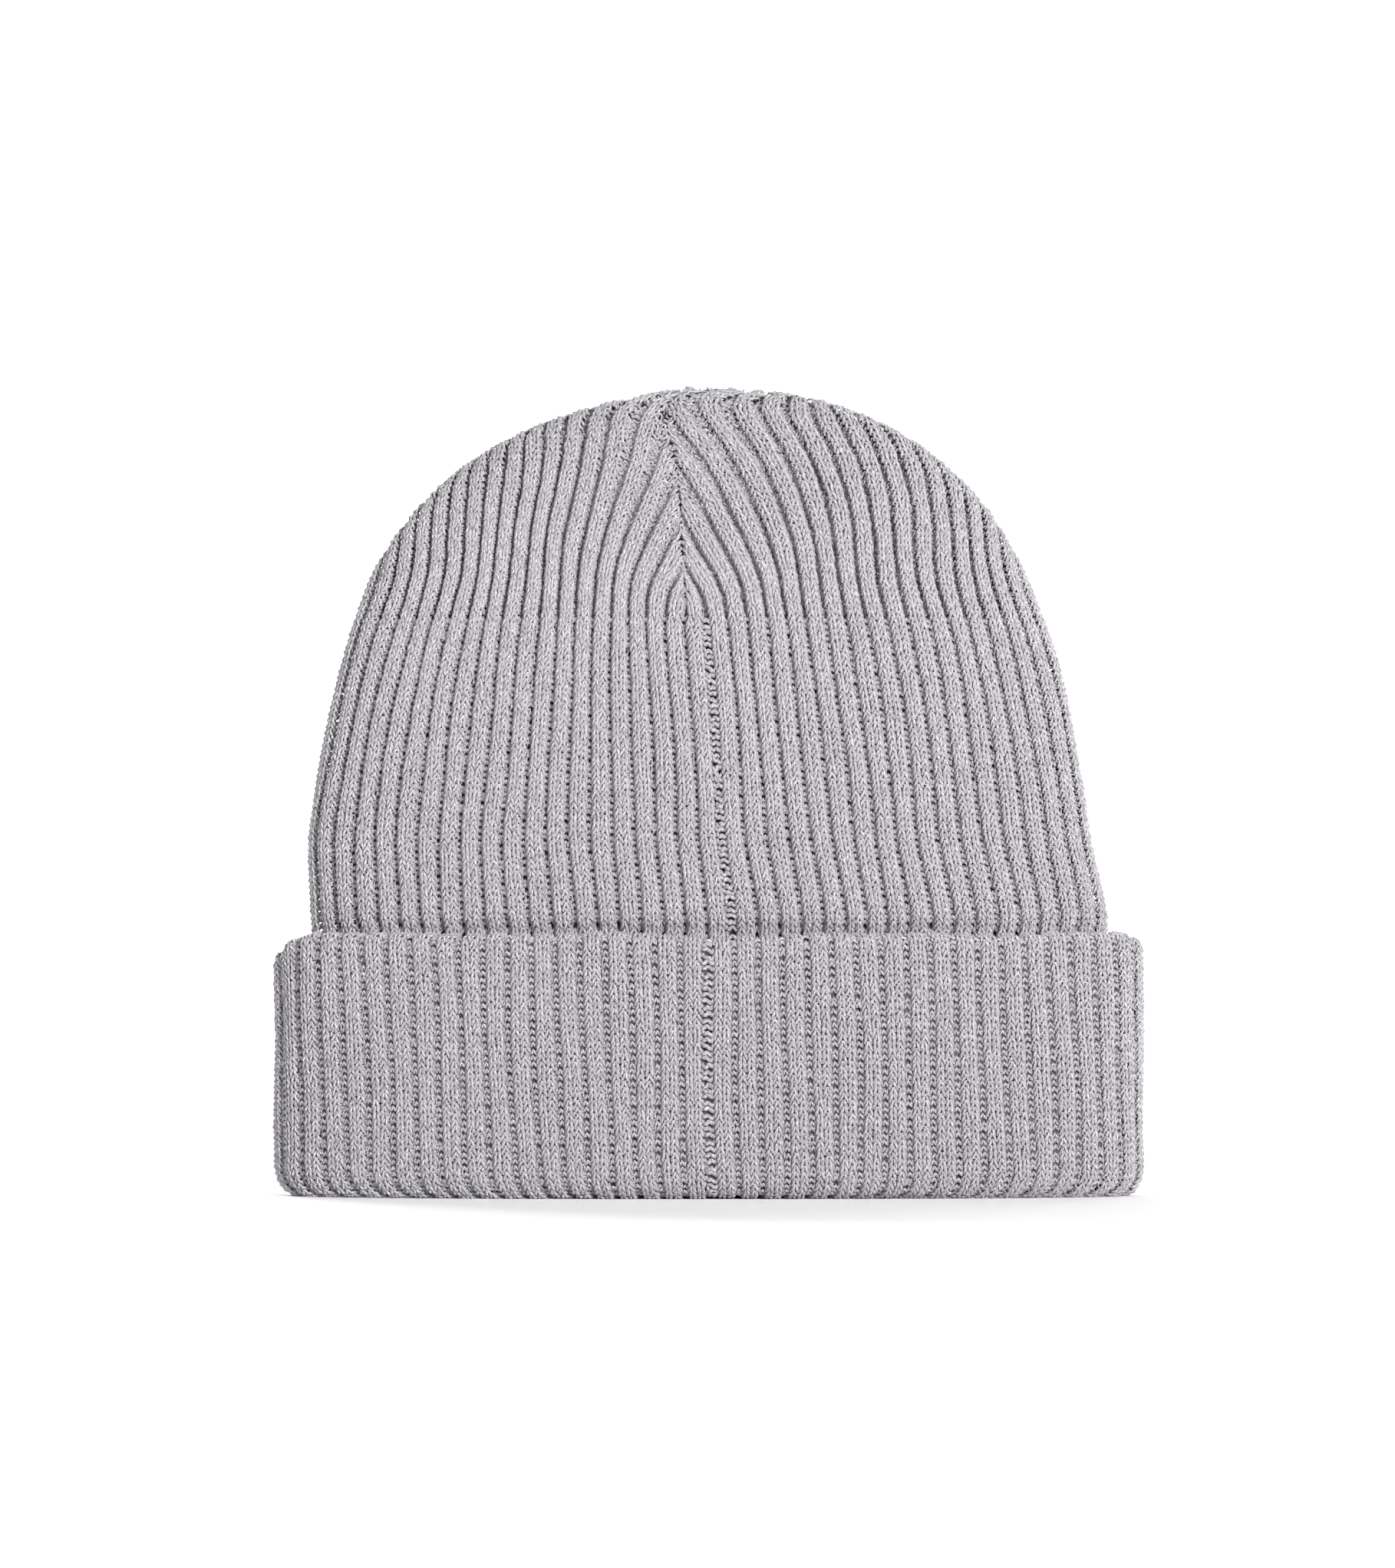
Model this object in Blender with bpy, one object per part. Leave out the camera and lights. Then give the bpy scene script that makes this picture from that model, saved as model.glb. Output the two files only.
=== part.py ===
"""Knit beanie with a turned-up cuff, modelled as it is knitted and sewn.

The hat stands on the fold of its cuff, only a little open, as when it is lifted from a
pile of flat ones: its back and front are nearly flat, and its sides are folded edges.
It is two layers of rib knit: an outer body with four darts that shape the crown, and a
lining. The turned-up cuff runs down outside the body, round the bottom fold and up inside
it, which leaves a channel that the body slides up out of when the cuff is turned down.

Metres, +Z up. The origin is under the middle of the cuff, on the surface that the
bottom fold stands on. The sewn seam, which is the back of the hat, faces -Y.
"""

import bisect
import math

import bmesh
import bpy

# Overall sizes
HAT_HEIGHT = 0.206
CUFF_HEIGHT = 0.0675
CUFF_HALF = (0.111, 0.0270)  # half width and half depth over the cuff's outer face
BODY_HALF = (0.1022, 0.0215)  # the same over the body, where it enters the cuff

# Layers of cloth
OUTER_KNIT = 0.0020
LINING_KNIT = 0.0018
LAYER_GAP = 0.0005
CUFF_CLOTH = 0.0042  # the cuff is two layers thick
FACING_CLOTH = 0.0018  # the part of the cuff's cloth that turns up inside the hat
FOLD_FLOOR = 0.0034  # thickness of the bottom fold, under the channel
CHANNEL_CLEARANCE = 0.0005
BOTTOM_FOLD = (0.0055, 0.0075)  # depth and height of the bottom fold's outer curve
FACING_FOLD = (0.0035, 0.0045)  # the same of its inner curve
TOP_EDGE = 0.0026  # height of the round of the cuff's top edge
FACING_TOP = CUFF_HEIGHT - 0.0040

# Shape of the oval, as the power of a superellipse
OVAL_POWER = 2.2
OVAL_POWER_TOP = 2.0

# Shape of the crown, over its rise from 0 at the cuff's top to 1 at the apex
TAPER_LINEAR = 0.09
TAPER_SQUARE = 0.22
DOME_POWER = 6.5
BODY_LEAN = 0.0024  # the body stands this far towards -X of the cuff
LEAN_SETTLED = 0.2  # the share of the body's rise where that lean is reached
APEX_LEAN = 0.0065  # and the top of the crown leans back this far towards +X
APEX_POWER = 10
SEAM_TWIST = math.radians(9.5)  # the back and front darts turn this far on the way up
APEX_TWIST = math.radians(30)  # and this far more close to the apex
APEX_TWIST_POWER = 18

# Ribs and seams
RIBS = 76
GORES = 4
DART_START = 0.0805  # length of plain knit between the cuff's top and the darts
BACK_SEAM = 1 / RIBS  # the body's seam is one rib to the right of the back dart
SEAM_GAP = 0.0016  # between the two cut edges that a seam joins
SEAM_WIDTH = 0.0009
SEAM_INSET = (0.0003, 0.0017)  # how deep the thread lies under the outer face
PIECE_GAP = 0.0003

TACK_RADIUS = 0.0015
CROWN_HOLE = 0.0018  # where the gores stop, and the tack closes them
HEM = FOLD_FLOOR + CHANNEL_CLEARANCE  # height of the body's and lining's lower edge

# Care label, sewn to the lining beside the back seam
LABEL_FROM = 0.018
LABEL_RIBS = (1.5, 5.0)
LABEL_LENGTH = 0.034
LABEL_THICKNESS = 0.0005
LABEL_COLUMNS = 4

# Fineness of the solids
OVAL_SAMPLES = 1440
MERIDIAN_SAMPLES = 400
BODY_ROWS = 5
GORE_ROWS = 14
TACK_COLUMNS = 12
FOLD_STEPS = 3

KNIT_COLOUR = (0.41, 0.40, 0.415)
THREAD_COLOUR = (0.33, 0.32, 0.335)
LABEL_COLOUR = (0.82, 0.82, 0.80)


def clear_scene():
    for item in list(bpy.data.objects):
        bpy.data.objects.remove(item, do_unlink=True)


def make_material(name, colour, roughness):
    material = bpy.data.materials.new(name)
    material.use_nodes = True
    shader = material.node_tree.nodes["Principled BSDF"]
    shader.inputs["Base Color"].default_value = (*colour, 1.0)
    shader.inputs["Roughness"].default_value = roughness
    shader.inputs["Metallic"].default_value = 0.0
    return material


# The surfaces that every piece follows


def oval_table(half_x, half_y, power):
    """Points round an oval with the share of its length up to each, from the back towards +X."""
    points = []
    for step in range(OVAL_SAMPLES + 1):
        angle = -math.pi / 2 + 2 * math.pi * step / OVAL_SAMPLES
        across, along = math.cos(angle), math.sin(angle)
        radius = (abs(across / half_x) ** power + abs(along / half_y) ** power) ** (-1 / power)
        points.append((radius * across, radius * along))
    lengths = [0.0]
    for (x0, y0), (x1, y1) in zip(points, points[1:]):
        lengths.append(lengths[-1] + math.hypot(x1 - x0, y1 - y0))
    total = lengths[-1]
    return [length / total for length in lengths], points, total


def oval_point(table, share):
    """The point at this share of the way round."""
    shares, points, _ = table
    share %= 1.0
    right = min(max(bisect.bisect_right(shares, share), 1), len(shares) - 1)
    left = right - 1
    mix = (share - shares[left]) / (shares[right] - shares[left])
    (x0, y0), (x1, y1) = points[left], points[right]
    return x0 + mix * (x1 - x0), y0 + mix * (y1 - y0)


def crown_width(rise):
    """Half width of the crown as a share of its width at the cuff."""
    taper = 1 - TAPER_LINEAR * rise - TAPER_SQUARE * rise**2
    return taper * math.sqrt(max(0.0, 1 - rise**DOME_POWER))


def meridian_table():
    """Rises from the cuff's top to the apex, and the length up the middle of the back to each."""
    rises = [1 - (1 - step / MERIDIAN_SAMPLES) ** 2 for step in range(MERIDIAN_SAMPLES + 1)]
    lengths = [0.0]
    for low, high in zip(rises, rises[1:]):
        inwards = BODY_HALF[1] * (crown_width(high) - crown_width(low))
        upwards = (HAT_HEIGHT - CUFF_HEIGHT) * (high - low)
        lengths.append(lengths[-1] + math.hypot(inwards, upwards))
    return lengths, rises


MERIDIAN = meridian_table()
DOME_LENGTH = MERIDIAN[0][-1]


def rise_at(level):
    """The rise at a length above the cuff's top; it is 0 below the cuff's top."""
    lengths, rises = MERIDIAN
    if level <= 0:
        return 0.0
    if level >= DOME_LENGTH:
        return 1.0
    right = bisect.bisect_right(lengths, level)
    left = right - 1
    mix = (level - lengths[left]) / (lengths[right] - lengths[left])
    return rises[left] + mix * (rises[right] - rises[left])


class BodyOval:
    """The oval of the body's surface at one level, a depth under its outer face."""

    def __init__(self, level, inset):
        rise = rise_at(level)
        width = crown_width(rise)
        power = OVAL_POWER + (OVAL_POWER_TOP - OVAL_POWER) * rise
        settle = min(1.0, rise / LEAN_SETTLED)
        self.centre_x = APEX_LEAN * rise**APEX_POWER - BODY_LEAN * settle**2 * (3 - 2 * settle)
        self.height = CUFF_HEIGHT + rise * (HAT_HEIGHT - inset - CUFF_HEIGHT) + min(0.0, level)
        twist = SEAM_TWIST * rise**2 + APEX_TWIST * rise**APEX_TWIST_POWER
        self.turn = -twist / (2 * math.pi)
        self.closed = width < 1e-6
        if not self.closed:
            half_x, half_y = (width * (half - inset) for half in BODY_HALF)
            self.table = oval_table(half_x, half_y, power)
            self.perimeter = self.table[2]

    def point(self, share):
        if self.closed:
            return self.centre_x, 0.0, self.height
        turn = self.turn * math.cos(2 * math.pi * share) ** 2  # none at the folded sides
        x, y = oval_point(self.table, share + turn)
        return self.centre_x + x, y, self.height


def spaced(start, end, count):
    return [start + (end - start) * step / count for step in range(count + 1)]


# Building closed pieces


def finish_object(name, bm, material):
    bmesh.ops.recalc_face_normals(bm, faces=bm.faces)
    bmesh.ops.triangulate(bm, faces=bm.faces)
    mesh = bpy.data.meshes.new(name)
    bm.to_mesh(mesh)
    bm.free()
    mesh.shade_smooth()
    mesh.set_sharp_from_angle(angle=math.radians(50))
    mesh.materials.append(material)
    item = bpy.data.objects.new(name, mesh)
    bpy.context.scene.collection.objects.link(item)
    return item


def bridge_rows(bm, rows, closed):
    """Quads between neighbouring rows of vertices; closed rows meet their own start."""
    for low, high in zip(rows, rows[1:]):
        count = len(low)
        for i in range(count if closed else count - 1):
            j = (i + 1) % count
            bm.faces.new((low[i], low[j], high[j], high[i]))


def patch(name, span, columns, levels, insets, material, margin):
    """A closed piece of cloth over part of the body's surface.

    span is the first and last share of the way round, less a margin in metres at each;
    insets are the depths of its outer and inner face.
    """
    bm = bmesh.new()
    faces = []
    for inset in insets:
        rows = []
        for level in levels:
            oval = BodyOval(level, inset)
            inside = margin / oval.perimeter
            shares = spaced(span[0] + inside, span[1] - inside, columns)
            rows.append([bm.verts.new(oval.point(share)) for share in shares])
        faces.append(rows)
        bridge_rows(bm, rows, closed=False)
    outer, inner = faces
    bridge_rows(bm, [outer[0], inner[0]], closed=False)
    bridge_rows(bm, [outer[-1], inner[-1]], closed=False)
    for side in (0, -1):
        bridge_rows(bm, [[row[side] for row in outer], [row[side] for row in inner]], closed=False)
    return finish_object(name, bm, material)


def cap(name, columns, levels, insets, material):
    """A closed piece of cloth all the way round the body's surface, up to the apex."""
    bm = bmesh.new()
    rims = []
    for inset in insets:
        rows = []
        for level in levels:
            oval = BodyOval(level, inset)
            rows.append([bm.verts.new(oval.point(i / columns)) for i in range(columns)])
        bridge_rows(bm, rows, closed=True)
        apex = bm.verts.new(BodyOval(DOME_LENGTH, inset).point(0))
        for i in range(columns):
            bm.faces.new((rows[-1][i], rows[-1][(i + 1) % columns], apex))
        rims.append(rows[0])
    bridge_rows(bm, rims, closed=True)
    return finish_object(name, bm, material)


# The cuff


def quarter_turn(centre, radii, start, steps):
    """(inset, height) points on a quarter of an ellipse, from the angle start in quarters."""
    points = []
    for step in range(steps + 1):
        angle = (start + step / steps) * math.pi / 2
        points.append((centre[0] + radii[0] * math.cos(angle), centre[1] + radii[1] * math.sin(angle)))
    return points


def arch(centre, radii, steps):
    """Half an ellipse over its centre, from the low inset to the high one."""
    rising = quarter_turn(centre, radii, 1, steps)
    falling = quarter_turn(centre, radii, 0, steps)
    return rising[::-1] + falling[::-1][1:]


def cuff_profile(shrink=0.0):
    """The cuff's section as (oval, inset, height): up the outer leg, over its top edge,
    down into the channel, up the facing, over its edge and down to the bottom fold.
    shrink draws the whole section inwards, for the seam thread inside the cloth."""
    fold_in, fold_up = BOTTOM_FOLD
    hem_in, hem_up = FACING_FOLD
    channel = OUTER_KNIT + LAYER_GAP + LINING_KNIT + CHANNEL_CLEARANCE
    inside = channel + FACING_CLOTH
    top = (CUFF_CLOTH / 2 - shrink, TOP_EDGE - shrink)
    fold = quarter_turn(BOTTOM_FOLD, (fold_in - shrink, fold_up - shrink), 2, FOLD_STEPS)
    turned = quarter_turn((inside - hem_in, hem_up), (hem_in - shrink, hem_up - shrink), 3, FOLD_STEPS)
    outer_leg = fold[::-1] + arch((CUFF_CLOTH / 2, CUFF_HEIGHT - TOP_EDGE), top, FOLD_STEPS)
    facing = [
        (channel + shrink, FOLD_FLOOR - shrink),
        (channel + shrink, FACING_TOP - shrink),
        (inside - shrink, FACING_TOP - shrink),
    ]
    points = [("cuff", inset, height) for inset, height in outer_leg]
    points.append(("cuff", CUFF_CLOTH - shrink, FOLD_FLOOR - shrink))
    points += [("body", inset, height) for inset, height in facing + turned[::-1]]
    return points


def sweep_cuff(name, span, columns, profile, material, margin):
    """Carries a section round the hat between two shares of the way, and closes its ends."""
    ovals = {}
    for kind, inset, _ in profile:
        half = CUFF_HALF if kind == "cuff" else BODY_HALF
        ovals[kind, inset] = oval_table(half[0] - inset, half[1] - inset, OVAL_POWER)
    bm = bmesh.new()
    rows = []
    for kind, inset, height in profile:
        table = ovals[kind, inset]
        inside = margin / table[2]
        shares = spaced(span[0] + inside, span[1] - inside, columns)
        rows.append([bm.verts.new((*oval_point(table, share), height)) for share in shares])
    bridge_rows(bm, rows + rows[:1], closed=False)
    for side in (0, -1):
        bm.faces.new([row[side] for row in rows])
    return finish_object(name, bm, material)


def make_cuff(knit, thread):
    sweep_cuff("cuff_band", (0.0, 1.0), RIBS, cuff_profile(), knit, SEAM_GAP / 2)
    strip = SEAM_WIDTH / 2
    sweep_cuff("cuff_seam", (0.0, 0.0), 1, cuff_profile(SEAM_INSET[0]), thread, -strip)


# The body and crown


def make_body(knit, thread):
    insets = (0.0, OUTER_KNIT)
    levels = [HEM - CUFF_HEIGHT] + spaced(0.0, DART_START, BODY_ROWS)
    patch("body_tube", (BACK_SEAM, 1 + BACK_SEAM), RIBS, levels, insets, knit, SEAM_GAP / 2)
    patch("back_seam", (BACK_SEAM, BACK_SEAM), 1, levels, SEAM_INSET, thread, -SEAM_WIDTH / 2)


def make_crown(knit, thread):
    levels = spaced(DART_START + PIECE_GAP, DOME_LENGTH - CROWN_HOLE, GORE_ROWS)
    seam_levels = levels[:-1] + [levels[-1] - PIECE_GAP]
    gores = ("gore_back_right", "gore_front_right", "gore_front_left", "gore_back_left")
    seams = ("dart_seam_back", "dart_seam_right", "dart_seam_front", "dart_seam_left")
    for index, (gore, seam) in enumerate(zip(gores, seams)):
        start, end = index / GORES, (index + 1) / GORES
        patch(gore, (start, end), RIBS // GORES, levels, (0.0, OUTER_KNIT), knit, SEAM_GAP / 2)
        patch(seam, (start, start), 1, seam_levels, SEAM_INSET, thread, -SEAM_WIDTH / 2)
    tack_levels = [DOME_LENGTH - TACK_RADIUS, DOME_LENGTH - TACK_RADIUS / 2]
    cap("crown_tack", TACK_COLUMNS, tack_levels, SEAM_INSET, thread)


def make_lining(knit):
    outer = OUTER_KNIT + LAYER_GAP
    levels = [HEM - CUFF_HEIGHT] + spaced(0.0, DART_START, BODY_ROWS)
    levels += spaced(DART_START, DOME_LENGTH - TACK_RADIUS, GORE_ROWS)[1:]
    cap("lining", RIBS, levels, (outer, outer + LINING_KNIT), knit)


def make_label(label):
    outer = OUTER_KNIT + LAYER_GAP + LINING_KNIT + LAYER_GAP
    span = (LABEL_RIBS[0] / RIBS, LABEL_RIBS[1] / RIBS)
    levels = spaced(LABEL_FROM, LABEL_FROM + LABEL_LENGTH, 3)
    patch("care_label", span, LABEL_COLUMNS, levels, (outer, outer + LABEL_THICKNESS), label, 0.0)


def main():
    clear_scene()
    knit = make_material("knit_grey", KNIT_COLOUR, 0.95)
    thread = make_material("seam_thread", THREAD_COLOUR, 0.9)
    label = make_material("label_white", LABEL_COLOUR, 0.7)
    make_cuff(knit, thread)
    make_body(knit, thread)
    make_crown(knit, thread)
    make_lining(knit)
    make_label(label)


main()
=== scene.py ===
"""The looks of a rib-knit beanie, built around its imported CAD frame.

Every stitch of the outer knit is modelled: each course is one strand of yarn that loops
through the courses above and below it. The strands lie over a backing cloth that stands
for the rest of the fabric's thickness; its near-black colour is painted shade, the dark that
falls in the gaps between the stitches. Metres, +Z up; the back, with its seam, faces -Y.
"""

import math

import bpy
import numpy as np
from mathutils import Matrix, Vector


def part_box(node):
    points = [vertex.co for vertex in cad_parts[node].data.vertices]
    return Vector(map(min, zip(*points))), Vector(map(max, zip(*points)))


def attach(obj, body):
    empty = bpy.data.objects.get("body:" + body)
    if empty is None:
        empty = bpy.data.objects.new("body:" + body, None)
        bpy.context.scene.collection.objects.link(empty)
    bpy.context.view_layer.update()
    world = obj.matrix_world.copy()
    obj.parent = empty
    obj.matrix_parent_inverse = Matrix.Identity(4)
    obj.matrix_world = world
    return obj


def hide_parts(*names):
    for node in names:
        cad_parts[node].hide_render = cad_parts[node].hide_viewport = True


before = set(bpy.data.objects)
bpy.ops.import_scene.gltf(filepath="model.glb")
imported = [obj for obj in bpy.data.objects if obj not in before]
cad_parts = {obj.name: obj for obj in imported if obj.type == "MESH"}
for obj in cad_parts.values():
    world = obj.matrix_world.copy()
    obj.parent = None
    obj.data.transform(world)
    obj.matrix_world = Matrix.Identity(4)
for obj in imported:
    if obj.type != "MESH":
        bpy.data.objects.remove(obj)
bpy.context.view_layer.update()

MM = 0.001


def half_size(node):
    low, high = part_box(node)
    return (high.x - low.x) / 2, (high.y - low.y) / 2


# Sizes that come from the frame
CUFF_HALF = half_size("cuff_band")
BODY_HALF = half_size("body_tube")
CUFF_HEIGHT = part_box("cuff_band")[1].z
HAT_HEIGHT = 0.206
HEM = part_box("body_tube")[0].z
DART_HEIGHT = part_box("body_tube")[1].z

# The shape of the body, crown and cuff, as the CAD has it. Only the darts bend further here.
OVAL_POWER = 2.2
OVAL_POWER_TOP = 2.0
TAPER_LINEAR = 0.09
TAPER_SQUARE = 0.22
DOME_POWER = 6.5
BODY_LEAN = 0.0024
LEAN_SETTLED = 0.2
APEX_LEAN = 0.0065
APEX_POWER = 10
SEAM_TWIST = math.radians(9.5)
APEX_TWIST = math.radians(50)
APEX_TWIST_POWER = 18
TIP_RISE = 0.0009  # a small peak where the darts meet
TIP_PLACE = -0.0047
TIP_REACH = 0.007
TIP_START = 0.9
CUFF_CLOTH = 0.0042
LINING_INSET = 0.0025
LINING_KNIT = 0.0018
FACING_INSET = (0.0048, 0.0066)
FACING_TOP = CUFF_HEIGHT - 0.004
BOTTOM_FOLD = (0.0055, 0.0075)
FACING_FOLD = (0.0035, 0.0045)
TOP_EDGE = 0.0026
DOWN_INSIDE = 8 * MM  # how far the cuff's cloth goes down into the channel

# The cuff's top edge: where it drops at its corners and back, and its slow waves
EDGE_DROPS = ((0.747, 0.0216, 7.5 * MM), (0.252, 0.014, 3.0 * MM), (0.01, 0.02, 0.9 * MM))
EDGE_WAVES = ((7, 0.2, 0.25 * MM), (17, 0.6, 0.2 * MM))
DROP_START = 0.15  # the share of the cuff's height that doesn't drop
CUFF_LEAN = 2.0 * MM  # how far the ribs lean to one side between the bottom and the top

# Ribs: two knit columns and one purl column each
RIBS = 76
GORES = 4
BACK_SEAM = 1 / RIBS
GORE_RIBS = RIBS // GORES
RIB_PITCHES = (3 * MM, 5.4 * MM, 5.9 * MM, 8 * MM)
KNIT_WIDTHS = (1.15 * MM, 1.98 * MM, 2.13 * MM, 2.2 * MM)
CROWN_KNIT_WIDTHS = (1.15 * MM, 1.98 * MM, 1.92 * MM, 1.85 * MM)

# Yarn and stitches
YARN_RADIUS = 0.372 * MM
YARN_DEPTH = 0.45 * MM  # how far a loop's legs stand in front of its head
YARN_SWING = 0.12  # how much thicker the yarn looks in front than behind
LOOP_HEIGHT = 1.8  # in courses
KNIT_BULGE = 0.315  # how far a loop's head spreads, in columns
PURL_BULGE = 0.16
ARCH_RISE = (0.1125, 0.125, 0.2625)  # a purl arch, as a level and two cosine waves
STITCH_NOISE = (0.08 * MM, 0.09 * MM, 0.07 * MM, 0.045)  # sideways, along, outwards, in the bulge
PURL_NOISE = 1.9  # times as uneven as the knit columns
SEAM_NOISE = 1.3  # and the seam's, times that
BODY_GROOVE = 2.0 * MM
CUFF_GROOVE = 1.2 * MM
CROWN_GROOVE = 2.5 * MM  # at a purl column of CROWN_PURL, and less where it is spread
CROWN_PURL = 1.4 * MM
GROOVE_FADE = 5.5 * MM

# A groove's section, as shares of its depth: at a column's edges, near them, and in its middle
EDGE_DEPTHS = (0.07, 0.42, 1.0)  # between two knit columns, a knit and a purl, two purl
KNIT_SIDES = (0.03, 0.12)  # towards a knit column, or a purl one
PURL_SIDES = (0.85, 0.98)
PURL_MIDDLE = 0.97
SIDE_PLACE = 0.22

# The seam, which is a wider groove that is crossed by thick arches
SEAM_EXTRA = 1.2 * MM  # how much wider the seam's groove is than the others
PUSH_RIBS = 6  # how many ribs it pushes aside
SEAM_SWELL = 1.32  # thickness of the seam's yarn, and of the purl columns' yarn
PURL_SWELL = 1.08
SEAM_DEPTH = 0.6  # times as deep as the other grooves
SEAM_AT = (0, 0.22, 0.6, 1.0, 1.4, 1.78, 2)  # the wide arch, over two columns
SEAM_RISE = (0.5, 0.08, 0.12, 0.26, 0.12, -0.08, 0.5)
SEAM_FORWARD = (-1, 0.2, 0.9, 0.35, 0.9, 0.2, -1)

# Where the cuff's edge lies against the body
PINCH = 1.8 * MM  # how far the cuff's edge presses the body in
PINCH_SIDES = 0.3  # and at the folded sides, times that
PINCH_REACH = 2.4 * MM

# Courses, and the depths of the yarn and of the cloth that backs it
CUFF_COURSE = 1.62 * MM
BODY_COURSE = 1.58 * MM
STEPS = 8  # points of yarn in a stitch
SIDES = 4
YARN_INSET = 0.55 * MM  # the middle of the yarn under the CAD's outer face
BACKING_INSET = 3.3 * MM
CUFF_BACKING_INSET = 1.85 * MM
BODY_BACKING = 0.25 * MM
CUFF_BACKING = 0.2 * MM
FIRST_COURSE = 0.8 * MM  # from the edge of the cloth
HIDDEN_BELOW = 3 * MM  # under the cuff's top, where the body's yarn can be simpler

# How the crown's ribs spread and turn towards the darts
DART_PULL = 0.58  # slope of the ribs against the middle dart
PULL_REACH = 38 * MM
LEAST_GROWN = 0.4  # keeps the logarithm of what the dart leaves in range
FLOW_RAMP = 6 * MM
FLOW_DELAY = 0.25  # how much later, and how much more slowly, a rib bends for being further off
FLOW_SPREAD = 0.3
SIDE_RAMP = 20 * MM
COURSE_TILT = 0.35  # how the courses dip towards the middle dart
TILT_REACH = 18 * MM
TILT_RAMP = 26 * MM
DART_DEPTH = 1.2 * MM  # the dart's own groove, its reach, and how much it flattens the loops
DART_FADE = 0.8 * MM
DART_FLATTEN = 0.5
GORE_START = 0.3 * MM
DART_GAP = 0.2 * MM  # a course starts this far from the middle dart,
DART_EDGE = 0.15 * MM  # and its stitches stay this far from it
SIDE_REACH = 0.3 * MM  # it ends this far past the side dart,
SIDE_LAP = 0.2 * MM  # and its stitches stay within this
TIP_GAP = 1.2 * MM  # from the last course to the tip
SEAM_MERGE = 10 * MM  # the seam's groove narrows over this, above where the darts start
WANDER_REACH = 6 * MM
WANDER_WAVES = (
    (3, 0.1, 21 * MM, 0.0, 0.30 * MM),
    (8, 0.7, -13 * MM, 1.0, 0.22 * MM),
    (19, 0.3, 8 * MM, 2.0, 0.12 * MM),
)
SWELL_WAVES = ((11, 0.4, 9 * MM, 0.0, 0.13 * MM), (23, 0.2, -6 * MM, 1.0, 0.10 * MM))
PAIR_BULGE = 0.26  # the crown's purl columns, which are two to a rib
PAIR_FORWARD = 0.8
SIDE_DART = 0.1  # how deep the side darts are beside the middle ones

# Short courses between the whole ones: how far along each lies, and the least spread of the
# whole ones where it is laid
SHORT_ROWS = ((0, 0), (0.5, 1.5), (0.25, 3), (0.75, 3), (0.125, 6), (0.375, 6), (0.625, 6), (0.875, 6))
MOST_SPREAD = 12

# Fineness of the surfaces that the stitches follow
OVAL_SAMPLES = 1440
SHARE_SAMPLES = 1200
LEVEL_STEP = 0.6 * MM
CUFF_STEP = 0.5 * MM
TIP_ZONE = 6 * MM  # the last stretch up to the tip, which takes finer levels
TIP_LEVELS = 40
TIP_CLOSED = 0.985
CLOTH_COLUMNS = 480

# The lining
LINING_FACE = 3.8 * MM  # the lining starts behind the body's backing

# The yarn that gathers the tip
TACK_TURNS = 3
TACK_REACH = (0.35 * MM, 2.45 * MM)
TACK_SLOPE = 0.15

# Colours
YARN_DARK = (0.045, 0.043, 0.047)
YARN_MIDDLE = (0.26, 0.249, 0.266)
YARN_LIGHT = (0.65, 0.627, 0.657)
# the backing's near-black is painted shade: the dark that falls in the gaps between the stitches
PAINTED_SHADE_COLOUR = (0.07, 0.068, 0.072)
LINING_COLOUR = (0.36, 0.352, 0.367)
STAGE_COLOUR = (0.86, 0.86, 0.86)

# The stage, lights and camera
HAT_MIDDLE = (0, 0, 0.1)
STAGE_FLAT = 1.2
STAGE_RADIUS = 3.4
STAGE_BEND = 0.8
STAGE_HEIGHT = 2.4
STAGE_SIDES = 96
CAMERA_DISTANCE = 2.5
VIEW_HEIGHT = 0.4002  # what the camera sees from top to bottom, at the hat
VIEW_MIDDLE = (-0.0029, 0.105)
SENSOR = 36

rng = np.random.default_rng(7)


def smooth_step(value):
    value = np.clip(value, 0.0, 1.0)
    return value * value * (3 - 2 * value)


def unit(vectors):
    return vectors / np.maximum(np.linalg.norm(vectors, axis=-1, keepdims=True), 1e-12)


# The surfaces that the stitches follow


def oval_points(half_x, half_y, power, shares):
    """Points on an oval at shares of the way round, from the back towards +X."""
    angle = -np.pi / 2 + 2 * np.pi * np.arange(OVAL_SAMPLES + 1) / OVAL_SAMPLES
    across, along = np.cos(angle), np.sin(angle)
    radius = (np.abs(across / half_x) ** power + np.abs(along / half_y) ** power) ** (-1 / power)
    x, y = radius * across, radius * along
    length = np.concatenate([[0.0], np.cumsum(np.hypot(np.diff(x), np.diff(y)))])
    at = (shares % 1.0) * length[-1]
    return np.interp(at, length, x), np.interp(at, length, y), length[-1]


def crown_width(rise):
    taper = 1 - TAPER_LINEAR * rise - TAPER_SQUARE * rise**2
    return taper * np.sqrt(np.maximum(0.0, 1 - rise**DOME_POWER))


def meridian():
    """Rises from the cuff's top to the apex, and the length up the middle of the back."""
    rise = 1 - (1 - np.linspace(0, 1, 1601)) ** 2
    inwards = BODY_HALF[1] * np.diff(crown_width(rise))
    upwards = (HAT_HEIGHT - CUFF_HEIGHT) * np.diff(rise)
    return np.concatenate([[0.0], np.cumsum(np.hypot(inwards, upwards))]), rise


MERIDIAN_LENGTH, MERIDIAN_RISE = meridian()
DOME_LENGTH = MERIDIAN_LENGTH[-1]
DART_RISE = (DART_HEIGHT - CUFF_HEIGHT) / (HAT_HEIGHT - CUFF_HEIGHT)
DART_START = float(np.interp(DART_RISE, MERIDIAN_RISE, MERIDIAN_LENGTH))


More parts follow.
